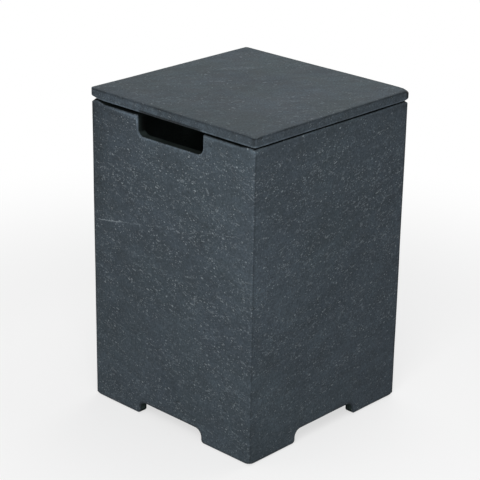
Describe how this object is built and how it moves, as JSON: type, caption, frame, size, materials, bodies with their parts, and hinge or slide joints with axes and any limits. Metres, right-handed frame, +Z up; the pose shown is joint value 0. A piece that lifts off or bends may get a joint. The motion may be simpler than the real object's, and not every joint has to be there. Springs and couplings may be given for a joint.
{
  "type": "propane tank cover table",
  "caption": "Square cast-concrete column that hides a standing gas bottle, with notched feet, hand slots at the rim and a loose slab lid that serves as a side table.",
  "frame": {"origin": "on the ground under the middle of the cover", "axes": "+Z up, -Y the front with a hand slot, +Y the back with the other, +X to the right seen from the front"},
  "size_m": [0.401, 0.401, 0.6035],
  "materials": {
    "cast_concrete": "matt dark blue-grey cast lightweight concrete with fine pale flecks",
    "bumper_rubber": "smooth black rubber",
    "pad_rubber": "matt black sheet rubber",
    "moulded_plastic": "matt black moulded plastic"
  },
  "bodies": {
    "cover": {"cover_shell": "cast_concrete", "rim_bumper_front_left": "bumper_rubber", "rim_bumper_front_right": "bumper_rubber", "rim_bumper_back_right": "bumper_rubber", "rim_bumper_back_left": "bumper_rubber", "foot_pad_front_left_x": "pad_rubber", "foot_pad_front_left_y": "pad_rubber", "foot_pad_front_right_x": "pad_rubber", "foot_pad_front_right_y": "pad_rubber", "foot_pad_back_right_x": "pad_rubber", "foot_pad_back_right_y": "pad_rubber", "foot_pad_back_left_x": "pad_rubber", "foot_pad_back_left_y": "pad_rubber"},
    "lid": {"lid_slab": "cast_concrete", "lid_locator_front_left": "moulded_plastic", "lid_locator_front_right": "moulded_plastic", "lid_locator_back_right": "moulded_plastic", "lid_locator_back_left": "moulded_plastic"}
  },
  "joints": [
    {"name": "lid_lift", "type": "slide", "parent": "cover", "child": "lid", "axis": [0, 0, 1], "range_m": [0, 0.25]}
  ]
}
